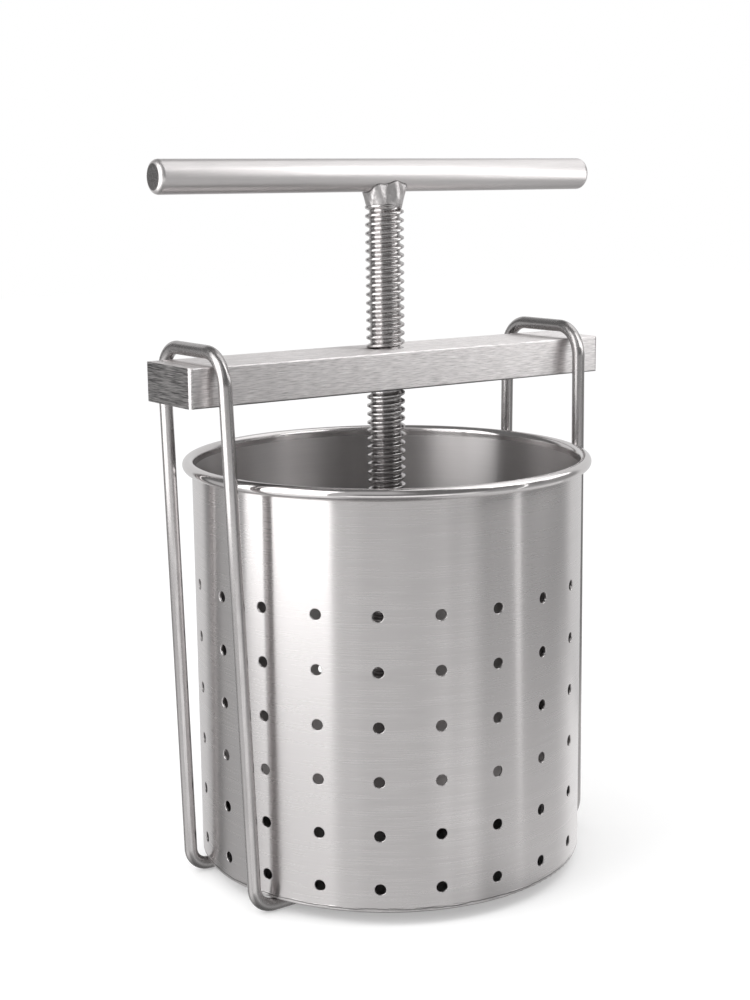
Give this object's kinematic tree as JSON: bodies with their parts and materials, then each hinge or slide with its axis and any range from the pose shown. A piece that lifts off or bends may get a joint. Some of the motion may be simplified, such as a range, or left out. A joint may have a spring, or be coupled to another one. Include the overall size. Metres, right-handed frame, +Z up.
{
  "type": "vegetable squeezer",
  "caption": "Stainless screw press: a perforated bucket in a wire frame, with a crossbar and a hand-turned screw that drives a plate down to squeeze water from chopped vegetables.",
  "frame": {"origin": "on the surface the press stands on, under the screw's axis", "axes": "+Z up along the screw, +X along the crossbar, the front of the press towards -Y"},
  "size_m": [0.2362, 0.193, 0.3342],
  "materials": {
    "satin_sheet": "satin",
    "polished_wire": "polished",
    "brushed_bar": "brushed",
    "bright_thread": "machined",
    "satin_rod": "satin",
    "weld_bead": "cleaned weld",
    "turned_hub": "turned",
    "hardened": "hardened"
  },
  "bodies": {
    "frame": {"bucket_wall": "satin_sheet", "bucket_bottom": "satin_sheet", "bottom_weld": "weld_bead", "bail_left": "polished_wire", "bail_right": "polished_wire", "crossbar": "brushed_bar"},
    "press": {"press_plate": "satin_sheet", "plate_hub": "turned_hub", "hub_weld": "weld_bead", "thrust_pad": "hardened", "grub_screws": "hardened"},
    "screw": {"lead_screw": "bright_thread", "handle_bar": "satin_rod", "handle_weld": "weld_bead"}
  },
  "joints": [
    {"name": "press_slide", "type": "slide", "parent": "frame", "child": "press", "axis": [0, 0, 1], "range_m": [-0.0401, 0.1441]},
    {"name": "screw_turn", "type": "hinge", "parent": "press", "child": "screw", "pos_m": [0, 0, 0.08], "axis": [0, 0, 1], "range_deg": [-3600, 12960]}
  ],
  "couplings": [
    {"joint": "press_slide", "follows": "screw_turn", "m_per_rad": 0.00063662}
  ]
}
